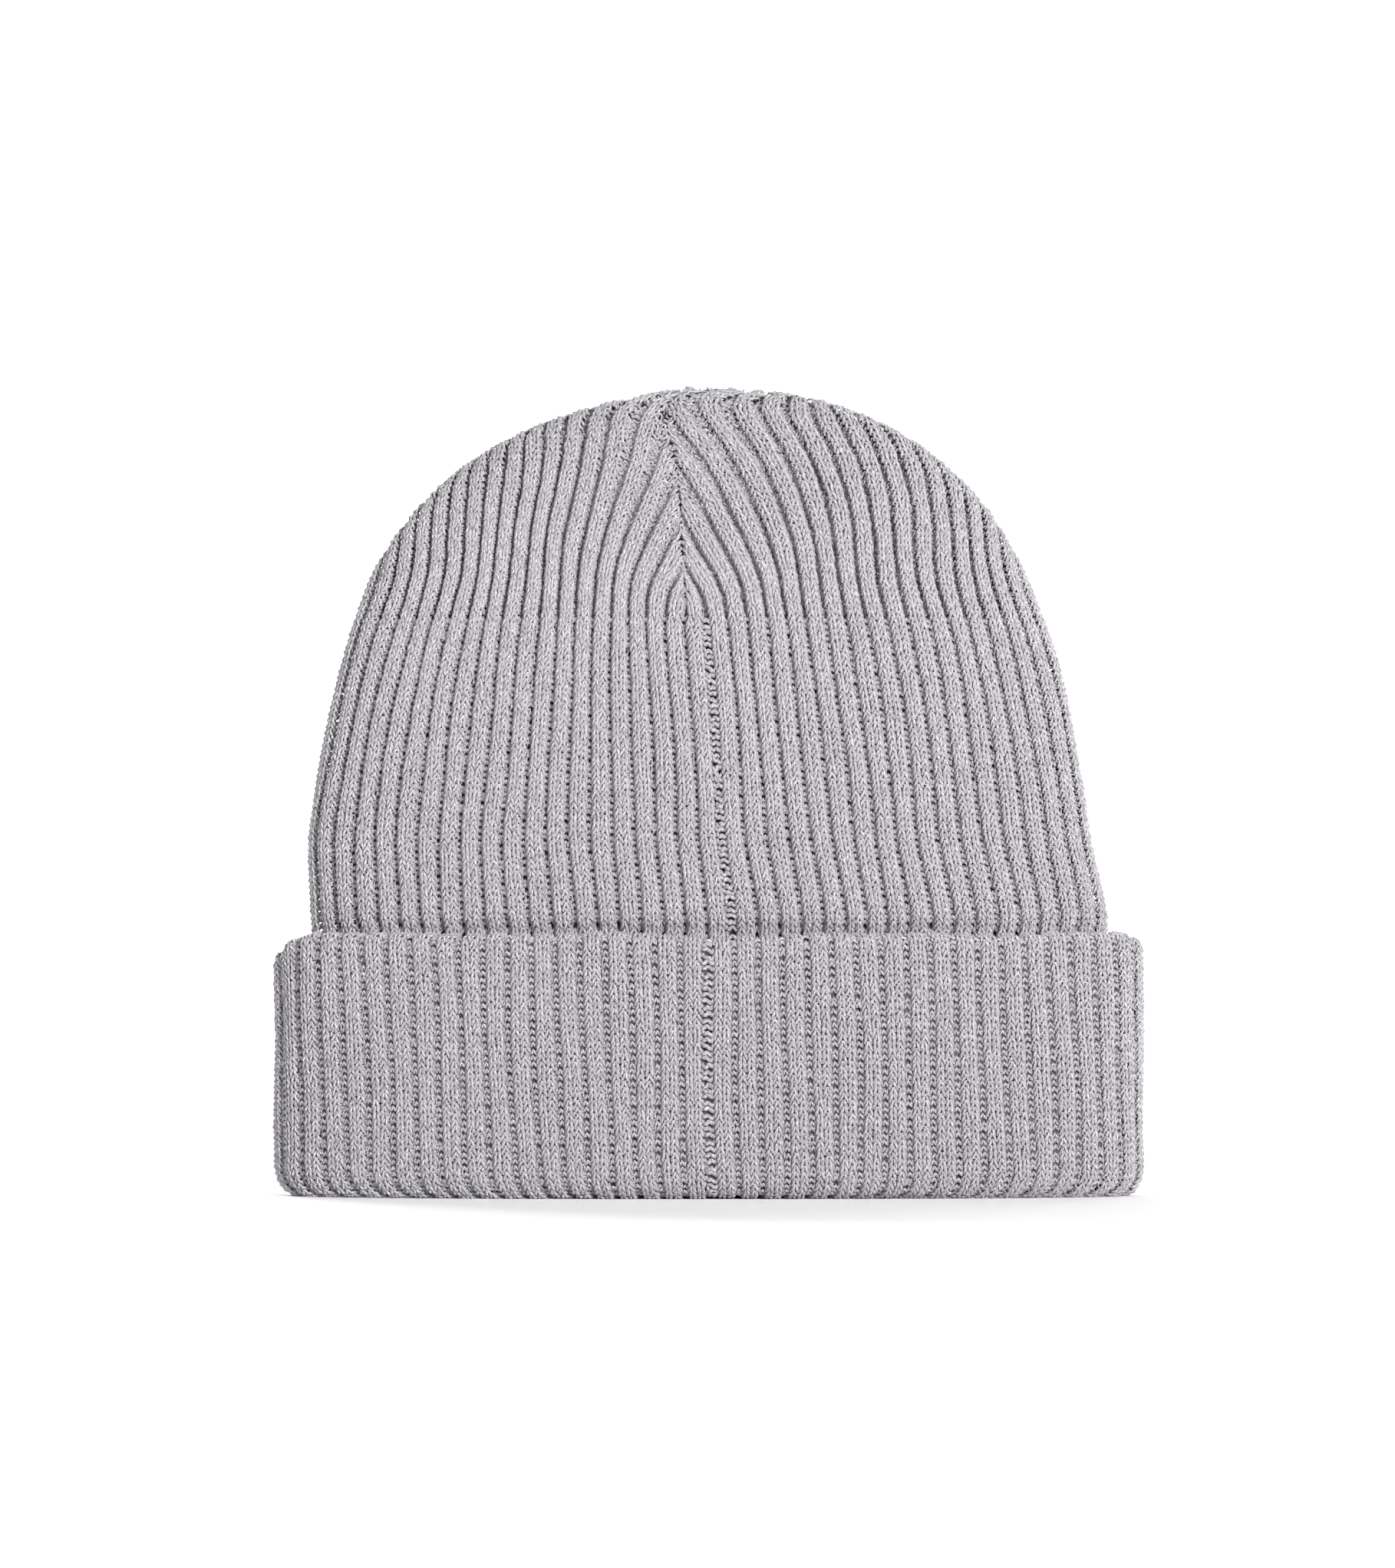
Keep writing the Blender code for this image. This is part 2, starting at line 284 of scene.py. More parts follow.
def body_ring(level, inset, shares):
    """The body's surface at one level above the cuff's top, a depth under its outer face."""
    rise = float(np.interp(level, MERIDIAN_LENGTH, MERIDIAN_RISE))
    width = float(crown_width(rise))
    power = OVAL_POWER + (OVAL_POWER_TOP - OVAL_POWER) * rise
    settle = float(smooth_step(rise / LEAN_SETTLED))
    centre_x = APEX_LEAN * rise**APEX_POWER - BODY_LEAN * settle
    height = CUFF_HEIGHT + rise * (HAT_HEIGHT - inset - CUFF_HEIGHT) + min(0.0, level)
    pinch = PINCH * math.exp(-((level / PINCH_REACH) ** 2))
    half_x = width * (BODY_HALF[0] - inset - PINCH_SIDES * pinch)
    half_y = width * (BODY_HALF[1] - inset - pinch)
    x, y, perimeter = oval_points(half_x, half_y, power, shares)
    tip = TIP_RISE * np.exp(-(((x + centre_x - TIP_PLACE) / TIP_REACH) ** 2))
    z = height + tip * float(smooth_step((rise - TIP_START) / (1 - TIP_START)))
    return np.stack([x + centre_x, y, z], axis=-1), perimeter


def seam_turn(level, share):
    """How far the seams and ribs have turned, as a share of the way round: all of it at the
    back and front, and none at the folded sides."""
    rise = np.interp(level, MERIDIAN_LENGTH, MERIDIAN_RISE)
    return -SEAM_TWIST / (2 * np.pi) * rise**2 * np.cos(2 * np.pi * share) ** 2


def apex_turn(level):
    """How far the middle darts bend further, close to the apex."""
    rise = np.interp(level, MERIDIAN_LENGTH, MERIDIAN_RISE)
    return -APEX_TWIST / (2 * np.pi) * rise**APEX_TWIST_POWER


class Surface:
    """A grid of points over (row, share of the way round), with normals, that can be read
    between its points. rows are lengths along the cloth."""

    def __init__(self, rows, points):
        self.rows = np.asarray(rows)
        self.points = points
        across = np.roll(points, -1, axis=1) - np.roll(points, 1, axis=1)
        up = np.gradient(points, axis=0)
        self.normals = unit(np.cross(across, up))

    def at(self, row, share):
        """Points and unit normals at rows and shares, by linear interpolation."""
        count = self.points.shape[1]
        r = np.interp(row, self.rows, np.arange(len(self.rows)))
        low = np.minimum(r.astype(int), len(self.rows) - 2)
        fr = (r - low)[..., None]
        s = (share % 1.0) * count
        left = s.astype(int) % count
        right = (left + 1) % count
        fs = (s - np.floor(s))[..., None]
        found = []
        for grid in (self.points, self.normals):
            bottom = grid[low, left] * (1 - fs) + grid[low, right] * fs
            top = grid[low + 1, left] * (1 - fs) + grid[low + 1, right] * fs
            found.append(bottom * (1 - fr) + top * fr)
        return found[0], unit(found[1])


    def spread_at(self, row, share):
        """How far apart equal steps of the rows lie there, square to the rings."""
        r = np.clip(np.searchsorted(self.rows, row), 0, len(self.rows) - 1)
        s = (share * self.points.shape[1]).astype(int) % self.points.shape[1]
        return self.spread[r, s]


ALL_SHARES = np.arange(SHARE_SAMPLES) / SHARE_SAMPLES


def body_surface(inset):
    low = HEM - CUFF_HEIGHT
    plain = np.arange(low, DOME_LENGTH - TIP_ZONE, LEVEL_STEP)
    top = DOME_LENGTH - TIP_ZONE * (1 - np.linspace(0, TIP_CLOSED, TIP_LEVELS))
    levels = np.concatenate([plain, top])
    rings = [body_ring(level, inset, ALL_SHARES) for level in levels]
    surface = Surface(levels, np.stack([ring[0] for ring in rings]))
    surface.perimeters = np.array([ring[1] for ring in rings])
    along = unit(np.roll(surface.points, -1, axis=1) - np.roll(surface.points, 1, axis=1))
    up = np.gradient(surface.points, surface.rows, axis=0)
    surface.spread = np.linalg.norm(up - (up * along).sum(axis=2, keepdims=True) * along, axis=2)
    return surface


def quarter_turn(centre, radii, start, steps=12):
    angle = (start + np.arange(steps + 1) / steps) * np.pi / 2
    return [(centre[0] + radii[0] * math.cos(a), centre[1] + radii[1] * math.sin(a)) for a in angle]


def cuff_edge_drop(shares):
    """How far the cuff's top edge hangs below its full height, round the hat."""
    drop = np.zeros_like(shares)
    for centre, reach, depth in EDGE_DROPS:
        away = (shares - centre + 0.5) % 1.0 - 0.5
        drop += depth * np.exp(-((away / reach) ** 2))
    for waves, start, depth in EDGE_WAVES:
        drop += depth * np.sin(2 * np.pi * (waves * shares + start))
    return drop


def cuff_path(shrink):
    """The cuff's section as (kind, inset, height): down the facing inside the hat, round the
    bottom fold, up the outer leg and over the top edge into the channel."""
    hem_in, hem_up = FACING_FOLD
    inner = quarter_turn(
        (FACING_INSET[1] - hem_in, hem_up), (hem_in - shrink, hem_up - shrink), 3
    )
    points = [("body", FACING_INSET[1] - shrink, FACING_TOP)]
    points += [("body", inset, height) for inset, height in inner[::-1]]
    fold_in, fold_up = BOTTOM_FOLD
    fold = quarter_turn(BOTTOM_FOLD, (fold_in - shrink, fold_up - shrink), 2)
    points += [("cuff", inset, height) for inset, height in fold[::-1]]
    centre = (CUFF_CLOTH / 2, CUFF_HEIGHT - TOP_EDGE)
    radii = (CUFF_CLOTH / 2 - shrink, TOP_EDGE - shrink)
    points += [("cuff", inset, height) for inset, height in quarter_turn(centre, radii, 1)[::-1]]
    points += [("cuff", inset, height) for inset, height in quarter_turn(centre, radii, 0)[::-1]][1:]
    points.append(("cuff", CUFF_CLOTH - shrink, CUFF_HEIGHT - DOWN_INSIDE))
    return points


def cuff_surface(shrink):
    rings = []
    drop = cuff_edge_drop(ALL_SHARES)
    for kind, inset, height in cuff_path(shrink):
        half = CUFF_HALF if kind == "cuff" else BODY_HALF
        lean = (0.5 - height / CUFF_HEIGHT) * CUFF_LEAN
        x, y, perimeter = oval_points(half[0] - inset, half[1] - inset, OVAL_POWER, ALL_SHARES)
        shares = ALL_SHARES + lean / perimeter
        x, y, _ = oval_points(half[0] - inset, half[1] - inset, OVAL_POWER, shares)
        falls = smooth_step((height / CUFF_HEIGHT - DROP_START) / (1 - DROP_START))
        z = height - drop * falls * (kind == "cuff")
        rings.append(np.stack([x, y, z], axis=-1))
    rings = np.stack(rings)
    lengths = np.linalg.norm(np.diff(rings[:, 0], axis=0), axis=1)
    rows = np.concatenate([[0.0], np.cumsum(lengths)])
    even = np.arange(0.0, rows[-1], CUFF_STEP)
    low = np.clip(np.searchsorted(rows, even, side="right") - 1, 0, len(rows) - 2)
    mix = ((even - rows[low]) / (rows[low + 1] - rows[low]))[:, None, None]
    surface = Surface(even, rings[low] * (1 - mix) + rings[low + 1] * mix)
    around = np.linalg.norm(np.diff(surface.points, axis=1, append=surface.points[:, :1]), axis=2)
    surface.perimeters = around.sum(axis=1)
    return surface


# Columns of stitches


def rib_widths(pitch, widths=KNIT_WIDTHS):
    """Widths of a knit column and of the whole groove, of a rib of this pitch."""
    knit = np.interp(pitch, RIB_PITCHES, widths)
    return knit, pitch - 2 * knit


def groove_depth(purl_width):
    """How far the crown's purl columns lie behind the knit ones: less where they are spread."""
    return CROWN_GROOVE * np.exp(-(purl_width - CROWN_PURL) / GROOVE_FADE)


def ring_edges(pitch):
    """Where the columns of a whole course begin, in metres from the middle of the seam."""
    knit, purl = rib_widths(pitch)
    edges = np.concatenate([[0.0], np.cumsum(np.tile([purl, knit, knit], RIBS))]) - purl / 2
    return np.concatenate([[-purl / 2, 0.0], edges[1:]])


def seam_push(across, pitch):
    """How far a place is pushed aside by the seam's purl column, which is a wide one."""
    purl = rib_widths(pitch)[1]
    total = RIBS * pitch
    from_seam = (across + total / 2) % total - total / 2
    beyond = np.maximum(np.abs(from_seam) - purl / 2, 0)
    return SEAM_EXTRA / 2 * np.clip(from_seam / (purl / 2), -1, 1) * np.exp(-beyond / (PUSH_RIBS * pitch))


def knit_course(knits, bulges, with_seam=False):
    """A course's strand: its place in columns, its rise in loop heights, and how far it comes
    forward, from -1 to 1, at STEPS points in each column. A purl column on its own shows just
    the top of its loop, as an arch. With a seam, the first two columns are one wide arch."""
    count = len(knits)
    t = np.arange(count * STEPS + 1) / STEPS
    stitch = np.minimum(t.astype(int), count - 1)
    turn = 2 * np.pi * (t - stitch)
    lone = ~knits & np.roll(knits, 1) & np.roll(knits, -1)
    arch = lone[stitch]
    shift = np.where(arch, -PURL_BULGE * np.sin(turn), bulges[stitch] * np.sin(2 * turn))
    level, once, twice = ARCH_RISE
    arch_rise = level + once * np.cos(turn) + twice * np.cos(2 * turn)
    rise = np.where(arch, arch_rise, 0.5 * np.cos(turn))
    face = np.where(knits[stitch], 1.0, -1.0)
    turns_over = (t == stitch) & (face != np.roll(face, 1)) & ~(arch | np.roll(arch, 1))
    forward = -np.where(arch, np.cos(turn), np.where(turns_over, 0.0, face * np.cos(2 * turn)))
    if with_seam:
        seam = t <= 2
        shift = np.where(seam, 0.0, shift)
        rise = np.where(seam, np.interp(t, SEAM_AT, SEAM_RISE), rise)
        forward = np.where(seam, np.interp(t, SEAM_AT, SEAM_FORWARD), forward)
    return t, stitch, t + shift, rise, forward


def groove_shape(knits):
    """Places along a course, in columns, and how deep each lies: 0 on a rib, 1 in a groove."""
    edges = np.arange(len(knits))
    after = np.roll(knits, -1)
    before = np.roll(knits, 1)
    between_knits, beside_purl, between_purls = EDGE_DEPTHS
    edge = np.where(knits & before, between_knits, np.where(knits | before, beside_purl, between_purls))
    near = np.where(knits, np.where(before, *KNIT_SIDES), np.where(before, *PURL_SIDES))
    far = np.where(knits, np.where(after, *KNIT_SIDES), np.where(after, *PURL_SIDES))
    middle = np.where(knits, 0.0, PURL_MIDDLE)
    at = np.stack([edges, edges + SIDE_PLACE, edges + 0.5, edges + 1 - SIDE_PLACE], 1).ravel()
    return at, np.stack([edge, near, middle, far], 1).ravel()


def groove_at(place, knits):
    at, depth = groove_shape(knits)
    return np.interp(place, at, depth, period=len(knits))


def waves(table, share, row):
    """A sum of slow waves: times round the hat, start, length up the hat, lag and size."""
    total = np.zeros_like(share)
    for times, start, length, lag, size in table:
        total += size * np.sin(2 * np.pi * (times * share + start) + row / length + lag)
    return total


def wander(share, row):
    """A slow drift of the columns, as on cloth that was pulled and let go."""
    return waves(WANDER_WAVES, share, row)


def swell(share, row):
    """Slow unevenness of how far the ribs stand out."""
    return waves(SWELL_WAVES, share, row)


# Yarn meshes


class Strands:
    """Collects strands of yarn and makes one tube mesh of them; four-sided tubes get end caps."""

    def __init__(self):
        self.points, self.normals, self.radii, self.counts = [], [], [], []

    def add(self, points, normals, radii):
        if len(points) > 2:
            self.points.append(points)
            self.normals.append(normals)
            self.radii.append(radii)
            self.counts.append(len(points))

    def build(self, name, material, sides):
        points = np.concatenate(self.points)
        normals = np.concatenate(self.normals)
        radius = np.concatenate(self.radii)[:, None, None]
        counts = np.array(self.counts)
        starts = np.concatenate([[0], np.cumsum(counts)[:-1]])
        ends = starts + counts - 1
        side, out, step = strand_frames(points, normals, starts, ends)
        angle = 2 * np.pi * np.arange(sides) / sides
        cos, sin = np.cos(angle)[None, :, None], np.sin(angle)[None, :, None]
        rings = points[:, None] + radius * (cos * side[:, None] + sin * out[:, None])
        length = np.cumsum(step)[:, None, None] / MM
        strand = np.concatenate(np.broadcast_arrays(length, cos, sin), axis=-1)
        quads = tube_quads(len(points), ends, sides)
        caps = []
        if sides == 4:
            corner = np.arange(sides)
            caps = [(start * sides + corner)[::-1] for start in starts]
            caps += [end * sides + corner for end in ends]
        corners = np.concatenate([quads, np.array(caps)]) if caps else quads
        uv = strand_map(len(quads) // sides, sides, len(caps))
        return mesh_object(name, rings.reshape(-1, 3), corners, material, uv, strand.reshape(-1, 3))


def strand_frames(points, normals, starts, ends):
    """Sideways and outward directions at each point of the strands, and the steps along them."""
    first = np.zeros((len(points), 1), bool)
    first[starts] = True
    last = np.zeros((len(points), 1), bool)
    last[ends] = True
    ahead = np.where(last, points, np.roll(points, -1, axis=0))
    behind = np.where(first, points, np.roll(points, 1, axis=0))
    step = np.linalg.norm(points - behind, axis=1)
    tangent = unit(ahead - behind)
    side = unit(np.cross(tangent, normals))
    return side, np.cross(side, tangent), step


def tube_quads(total, ends, sides):
    """The faces round every stretch of strand between two points."""
    ring = np.delete(np.arange(total), ends)
    corner = np.arange(sides)
    after = (corner + 1) % sides
    low = ring[:, None] * sides
    high = low + sides
    return np.stack([low + corner, low + after, high + after, high + corner], axis=-1).reshape(-1, 4)


def strand_map(segments, sides, caps):
    """Texture places for each corner: a block of a square for each stitch's worth of yarn."""
    blocks = math.ceil(segments / STEPS)
    columns = max(1, round(math.sqrt(blocks / 1.8)))
    rows = math.ceil(blocks / columns)
    segment = np.arange(segments)
    block = segment // STEPS
    pad = 0.4
    u0 = (block % columns + (segment % STEPS + pad) / (STEPS + 2 * pad)) / columns
    du = 1 / (STEPS + 2 * pad) / columns
    side = np.arange(sides)
    v0 = ((block // columns)[:, None] + (side + pad) / (sides + 2 * pad)) / rows
    dv = 1 / (sides + 2 * pad) / rows
    u0 = np.broadcast_to(u0[:, None], v0.shape)
    uv = np.stack(
        [
            np.stack([u0, v0], -1),
            np.stack([u0, v0 + dv], -1),
            np.stack([u0 + du, v0 + dv], -1),
            np.stack([u0 + du, v0], -1),
        ],
        axis=2,
    ).reshape(-1, 2)
    if caps:
        uv = np.concatenate([uv, np.tile(uv[:4] * 0.999 + 0.0005, (caps, 1))])
    return uv


def mesh_object(name, points, quads, material, uv=None, strand=None):
    mesh = bpy.data.meshes.new(name)
    mesh.vertices.add(len(points))
    mesh.vertices.foreach_set("co", np.ascontiguousarray(points, np.float32).ravel())
    mesh.loops.add(quads.size)
    mesh.loops.foreach_set("vertex_index", np.ascontiguousarray(quads, np.int32).ravel())
    mesh.polygons.add(len(quads))
    mesh.polygons.foreach_set("loop_start", np.arange(len(quads), dtype=np.int32) * quads.shape[1])
    mesh.update(calc_edges=True)
    mesh.shade_smooth()
    if uv is not None:
        mesh.uv_layers.new(name="OFBake").data.foreach_set("uv", uv.astype(np.float32).ravel())
    if strand is not None:
        attribute = mesh.attributes.new("strand", "FLOAT_VECTOR", "POINT")
        attribute.data.foreach_set("vector", strand.astype(np.float32).ravel())
    mesh.materials.append(material)
    item = bpy.data.objects.new(name, mesh)
    bpy.context.scene.collection.objects.link(item)
    return item


# The cuff and body: courses that run all the way round


def stitch_noise(*shape):
    """Small unevenness of each stitch: sideways, along, outwards, and in its bulge."""
    return rng.normal(size=(4, *shape)) * np.array(STITCH_NOISE).reshape(4, *[1] * len(shape))


def yarn_radius(forward):
    return YARN_RADIUS * (1 + YARN_SWING * forward)


def lay_strand(surface, row, share, perimeter, along, forward, depth, noise, stitch):
    """Points and normals of a strand that lies over a surface."""
    points, normals = surface.at(row + along + noise[1, stitch], share + noise[0, stitch] / perimeter)
    out = YARN_DEPTH * forward - depth + noise[2, stitch] + swell(share, row)
    return points + normals * out[:, None], normals


def knit_ring(surface, rows, course, seam, groove, name, material, split=4, sides=SIDES, turned=False):
    """Yarn for whole courses, which start at the seam, as one piece for each part of the way
    round. Turned ribs follow the twist of the body."""
    knits = np.array([False] + [False, True, True] * RIBS)
    count = len(knits)
    pieces = [Strands() for _ in range(split)]
    cuts = [round(count * i / split) * STEPS for i in range(split + 1)]
    noise = stitch_noise(len(rows), count) * np.where(knits, 1.0, PURL_NOISE)
    noise[:, :, :2] *= SEAM_NOISE
    for index, row in enumerate(rows):
        t, stitch, place, rise, forward = knit_course(knits, KNIT_BULGE + noise[3, index], True)
        perimeter = float(np.interp(row, surface.rows, surface.perimeters))
        pitch = perimeter / RIBS
        across = np.interp(place, np.arange(count + 1), ring_edges(pitch))
        share = (across + seam_push(across, pitch)) / perimeter
        share = seam + share + wander(seam + share, row) / perimeter
        if turned:
            share = share + seam_turn(row, share)
        depth = groove * groove_at(place, knits)
        depth = np.where(stitch < 2, SEAM_DEPTH * depth, depth)
        along = LOOP_HEIGHT * course * rise
        points, normals = lay_strand(
            surface, row, share, perimeter, along, forward, depth, noise[:, index], stitch
        )
        thickness = np.where(stitch < 2, SEAM_SWELL, np.where(knits[stitch], 1.0, PURL_SWELL))
        radii = yarn_radius(forward) * thickness
        for piece, start, end in zip(pieces, cuts, cuts[1:]):
            piece.add(*[part[start : end + 1] for part in (points, normals, radii)])
    return [piece.build(f"{name}_{i + 1}", material, sides) for i, piece in enumerate(pieces)]


# The crown: courses that are cut off at the dart seams


def crown_flow(level, away):
    """How much cloth the middle dart has taken in up to a level, over the reach of its pull.
    Ribs that are further away follow later and more slowly."""
    above = np.maximum(level - DART_START - FLOW_DELAY * away, 0)
    ramp = FLOW_RAMP + FLOW_SPREAD * away
    taken = np.where(above < ramp, above**2 / (2 * ramp), above - ramp / 2)
    return DART_PULL * taken / PULL_REACH


def side_scale(surface):
    """How much closer the ribs are at each level than where the darts begin, while the side
    darts don't yet take in all that the crown narrows by."""
    late = smooth_step((surface.rows - DART_START) / SIDE_RAMP)
    change = np.diff(np.log(surface.perimeters), prepend=np.log(surface.perimeters[0]))
    scale = np.cumsum(np.where(surface.rows > DART_START, change * (1 - late), 0.0))
    return np.exp(scale)


def crown_place(position, level, base_pitch, scale):
    """Distance from the middle dart of places on a course, in columns of flat cloth, and the
    width of the purl columns there."""
    rib, part = np.divmod(position, 4)
    flat_pitch = base_pitch * scale
    flow = crown_flow(level, rib * flat_pitch)
    grown = np.exp(rib * flat_pitch / PULL_REACH)
    pitch = flat_pitch * grown / np.maximum(grown - flow, LEAST_GROWN)
    knit, purl = rib_widths(pitch, CROWN_KNIT_WIDTHS)
    offset = np.where(part < 2, (part - 1) * purl / 2, purl / 2 + (part - 2) * knit)
    flat = (rib + offset / pitch) * flat_pitch
    flow = crown_flow(level, flat)
    reach = PULL_REACH * np.log(np.maximum(np.exp(flat / PULL_REACH) - flow, LEAST_GROWN))
    return reach, purl


def gore_course(surface, level, least, noise, knits, from_centre, side, base_pitch):
    """One course of a gore, from the middle dart (share from_centre) to the side one. It is
    left out where the surface spreads whole courses apart by less than least times."""
    tilt = COURSE_TILT * smooth_step((level - DART_START) / TILT_RAMP) * TILT_REACH
    bulges = np.where(knits, KNIT_BULGE, PAIR_BULGE) + noise[3]
    t, stitch, place, rise, forward = knit_course(knits, bulges)

    def lay(position, lift):
        """Distance from the middle dart, level, way round, length to the side, purl width."""
        scale = np.interp(level, surface.rows, surface.side_scale)
        reach = crown_place(position, level + lift, base_pitch, scale)[0]
        at = level + lift - tilt * np.exp(-np.maximum(reach, 0) / TILT_REACH)
        scale = np.interp(at, surface.rows, surface.side_scale)
        reach, purl = crown_place(position, at, base_pitch, scale)
        around = np.interp(at, surface.rows, surface.perimeters)
        return reach, at, around, around * (1 / GORES - side * apex_turn(at)), purl

    middle, middle_at, around, middle_side, _ = lay(t, 0.0)
    share = from_centre + side * middle / around
    share = share + seam_turn(middle_at, share) + apex_turn(middle_at)
    spread = surface.spread_at(middle_at, share)
    shown = (middle > DART_GAP) & (middle < middle_side + SIDE_REACH)
    shown &= (middle_at < DOME_LENGTH - TIP_GAP) & (spread >= least)
    if shown.sum() < 4:
        return None
    first, last = np.flatnonzero(shown)[[0, -1]]
    keep = slice(first, last + 1)
    height = LOOP_HEIGHT * BODY_COURSE / np.clip(spread, 1, MOST_SPREAD)
    reach, at, around, to_side, purl = lay(place, height * rise)
    reach = np.clip(reach, DART_EDGE, to_side + SIDE_LAP)
    dart = np.exp(-reach / DART_FADE) + SIDE_DART * np.exp(-np.abs(to_side - reach) / DART_FADE)
    depth = groove_depth(purl) * groove_at(place, knits) * (1 - dart) + DART_DEPTH * dart
    forward = np.where(knits[stitch], forward, PAIR_FORWARD * forward)
    share = from_centre + side * reach / around
    push = seam_push((share - BACK_SEAM) * around, base_pitch)
    push *= np.exp(-np.maximum(at - DART_START, 0) / SEAM_MERGE)
    push = (push + wander(share, at)) * (1 - np.exp(-reach / WANDER_REACH))
    share = share + (push + noise[0, stitch]) / around
    share = share + seam_turn(at, share) + apex_turn(at)
    points, normals = surface.at(at + noise[1, stitch] / np.maximum(spread, 1), share)
    flat = 1 - DART_FLATTEN * dart
    out = YARN_DEPTH * forward * flat - depth + noise[2, stitch] + swell(share, at)
    points = points + normals * out[:, None]
    return [part[keep] for part in (points, normals, yarn_radius(forward))]


def knit_gore(surface, from_centre, side, name, material):
    knits = np.tile([False, False, True, True], GORE_RIBS + 3)
    base_pitch = float(np.interp(DART_START, surface.rows, surface.perimeters)) / RIBS
    surface.side_scale = side_scale(surface)
    whole = np.arange(DART_START + GORE_START, DOME_LENGTH + COURSE_TILT * TILT_REACH, BODY_COURSE)
    levels = [(level + part * BODY_COURSE, least) for level in whole for part, least in SHORT_ROWS]
    noise = stitch_noise(len(levels), len(knits)) * np.where(knits, 1.0, PURL_NOISE)
    strands = Strands()
    for index, (level, least) in enumerate(levels):
        stitches = noise[:, index]
        course = gore_course(surface, level, least, stitches, knits, from_centre, side, base_pitch)
        if course:
            strands.add(*course)
    return strands.build(name, material, SIDES)


# Backing cloths, which stand for the inner part of the knit; their near-black is painted shade for the
# gaps between the stitches


def dome_rows(surface):
    """Rows for a cloth: coarse up the body, and finer towards the tip."""
    return np.concatenate([surface.rows[:-TIP_LEVELS:5], surface.rows[-TIP_LEVELS::2], surface.rows[-1:]])


def cloth_between(name, surface_out, surface_in, rows, material):
    """A sheet with a thickness that runs all the way round between two surfaces."""
    row, share = np.meshgrid(rows, np.arange(CLOTH_COLUMNS) / CLOTH_COLUMNS, indexing="ij")
    grids = [surface.at(row, share)[0] for surface in (surface_out, surface_in)]
    height, width = row.shape
    outer = np.arange(height * width).reshape(height, width)
    inner = outer + height * width
    outer_next, inner_next = np.roll(outer, -1, axis=1), np.roll(inner, -1, axis=1)
    quads = [
        np.stack([outer[:-1], outer_next[:-1], outer_next[1:], outer[1:]], -1).reshape(-1, 4),
        np.stack([inner[:-1], inner[1:], inner_next[1:], inner_next[:-1]], -1).reshape(-1, 4),
        np.stack([outer[0], inner[0], inner_next[0], outer_next[0]], -1),
        np.stack([outer[-1], outer_next[-1], inner_next[-1], inner[-1]], -1),
    ]
    points = np.concatenate([grid.reshape(-1, 3) for grid in grids])
    return mesh_object(name, points, np.concatenate(quads), material)


# Materials


def new_material(name):
    material = bpy.data.materials.new(name)
    material.use_nodes = True
    return material, material.node_tree, material.node_tree.nodes["Principled BSDF"]


def yarn_material(name, dark, middle, light):
    """Heather yarn: dark and light fibres lie along the strand; the twist of its two plies is not drawn.
    """
    material, tree, shader = new_material(name)
    nodes, links = tree.nodes, tree.links
    strand = nodes.new("ShaderNodeAttribute")
    strand.attribute_name = "strand"
    stretch = nodes.new("ShaderNodeVectorMath")
    stretch.operation = "MULTIPLY"
    stretch.inputs[1].default_value = (0.55, 1.5, 1.5)
    links.new(strand.outputs["Vector"], stretch.inputs[0])
    fibres = nodes.new("ShaderNodeTexNoise")
    fibres.inputs["Scale"].default_value = 2.2
    fibres.inputs["Detail"].default_value = 3.0
    fibres.inputs["Roughness"].default_value = 0.65
    links.new(stretch.outputs[0], fibres.inputs["Vector"])
    ramp = nodes.new("ShaderNodeValToRGB")
    ramp.color_ramp.elements[0].position = 0.34
    ramp.color_ramp.elements[0].color = (*dark, 1)
    ramp.color_ramp.elements[1].position = 0.68
    ramp.color_ramp.elements[1].color = (*light, 1)
    middle_stop = ramp.color_ramp.elements.new(0.48)
    middle_stop.color = (*middle, 1)
    links.new(fibres.outputs["Fac"], ramp.inputs["Fac"])
    links.new(ramp.outputs["Color"], shader.inputs["Base Color"])
    shader.inputs["Roughness"].default_value = 0.92
    shader.inputs["Sheen Weight"].default_value = 0.25
    shader.inputs["Sheen Roughness"].default_value = 0.5
    shader.inputs["Specular IOR Level"].default_value = 0.25
    return material


def cloth_material(name, colour):
    material, tree, shader = new_material(name)
    shader.inputs["Base Color"].default_value = (*colour, 1)
    shader.inputs["Roughness"].default_value = 0.95
    return material


# Camera, light and stage


def make_stage():
    """A round pale floor that bends up into a wall, well outside every camera's path."""
    bends = [step / 12 * np.pi / 2 for step in range(13)]
    profile = [(MM, 0.0), (STAGE_FLAT, 0.0)]
    for a in bends:
        profile.append((STAGE_RADIUS - STAGE_BEND * (1 - math.sin(a)), STAGE_BEND * (1 - math.cos(a))))
    profile.append((STAGE_RADIUS, STAGE_HEIGHT))
    turn = 2 * np.pi * np.arange(STAGE_SIDES) / STAGE_SIDES
    points = np.array([(r * math.cos(t), r * math.sin(t), z) for r, z in profile for t in turn])
    low = np.arange((len(profile) - 1) * STAGE_SIDES).reshape(-1, STAGE_SIDES)
    after = np.roll(low, -1, axis=1)
    quads = np.stack([low, after, after + STAGE_SIDES, low + STAGE_SIDES], axis=-1).reshape(-1, 4)
    material, _, shader = new_material("studio_white")
    shader.inputs["Base Color"].default_value = (*STAGE_COLOUR, 1)
    shader.inputs["Roughness"].default_value = 1.0
    shader.inputs["Specular IOR Level"].default_value = 0.0
    mesh_object("studio_floor", points, quads, material)


